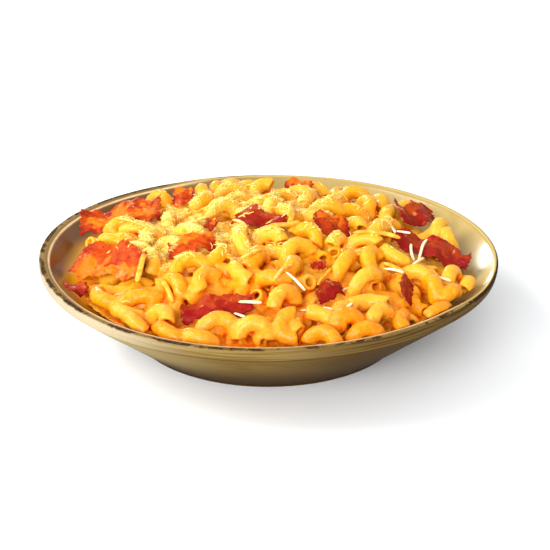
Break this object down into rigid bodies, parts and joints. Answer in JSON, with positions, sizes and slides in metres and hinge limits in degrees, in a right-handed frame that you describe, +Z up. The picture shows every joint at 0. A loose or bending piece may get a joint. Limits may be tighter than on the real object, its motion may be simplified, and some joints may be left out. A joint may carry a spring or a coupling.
{
  "type": "bowl of mac and cheese",
  "caption": "Wide stoneware pasta bowl heaped with elbow macaroni in cheese sauce, topped with crisp bacon pieces and grated cheese.",
  "frame": {"origin": "on the table under the middle of the bowl, at the bottom centre of the part's box", "axes": "+Z up, from the foot ring to the food; +X to the right and +Y to the back of the served bowl"},
  "size_m": [0.2306, 0.2294, 0.0615],
  "materials": {
    "glazed_stoneware": "glossy olive-beige reactive glaze, brown where it thins at the rim",
    "cheesy_pasta": "moist golden pasta coated in melted cheese sauce",
    "grated_cheese": "waxy orange and white shreds and crumbs of cheese",
    "fried_bacon": "crisp dark red lean with pale streaks of fat, oily"
  },
  "bodies": {
    "root": {"dish": "glazed_stoneware", "macaroni": "cheesy_pasta", "bacon_01": "fried_bacon", "bacon_02": "fried_bacon", "bacon_03": "fried_bacon", "bacon_04": "fried_bacon", "bacon_05": "fried_bacon", "bacon_06": "fried_bacon", "bacon_07": "fried_bacon", "bacon_08": "fried_bacon", "bacon_09": "fried_bacon", "bacon_10": "fried_bacon", "bacon_11": "fried_bacon", "bacon_12": "fried_bacon", "bacon_13": "fried_bacon", "bacon_14": "fried_bacon", "bacon_15": "fried_bacon"}
  },
  "joints": []
}
